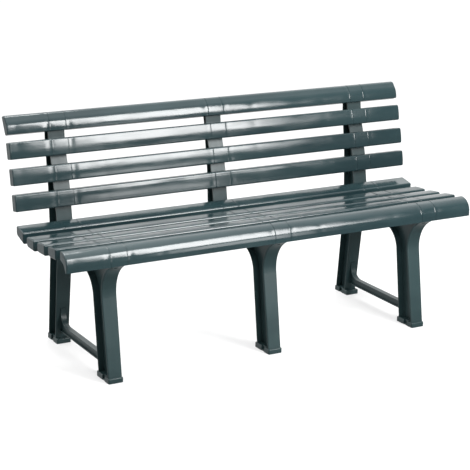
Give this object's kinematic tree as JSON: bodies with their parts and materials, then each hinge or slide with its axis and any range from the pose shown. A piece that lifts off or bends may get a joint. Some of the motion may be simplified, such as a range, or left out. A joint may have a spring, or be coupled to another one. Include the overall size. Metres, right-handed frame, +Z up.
{
  "type": "garden bench",
  "caption": "Slatted garden bench in glossy moulded plastic with a leaning back, hollow slats and H-section leg frames.",
  "frame": {"origin": "on the ground, under the centre of the bench's box", "axes": "+X along the bench (to the right of someone who faces it), +Y to the back, +Z up"},
  "size_m": [1.45, 0.5, 0.7477],
  "materials": {
    "slat_plastic": "glossy dark grey-green moulded plastic",
    "frame_plastic": "the same plastic, slightly more matt",
    "screw_steel": "zinc-plated steel"
  },
  "bodies": {
    "root": {"front_edge_slat": "slat_plastic", "seat_slat_front": "slat_plastic", "seat_slat_second": "slat_plastic", "seat_slat_third": "slat_plastic", "seat_slat_rear": "slat_plastic", "back_slat_lower": "slat_plastic", "back_slat_centre": "slat_plastic", "back_slat_upper": "slat_plastic", "top_slat": "slat_plastic", "left_frame": "frame_plastic", "middle_frame": "frame_plastic", "right_frame": "frame_plastic", "left_seat_screws": "screw_steel", "left_back_screws": "screw_steel", "middle_seat_screws": "screw_steel", "middle_back_screws": "screw_steel", "right_seat_screws": "screw_steel", "right_back_screws": "screw_steel"}
  },
  "joints": []
}
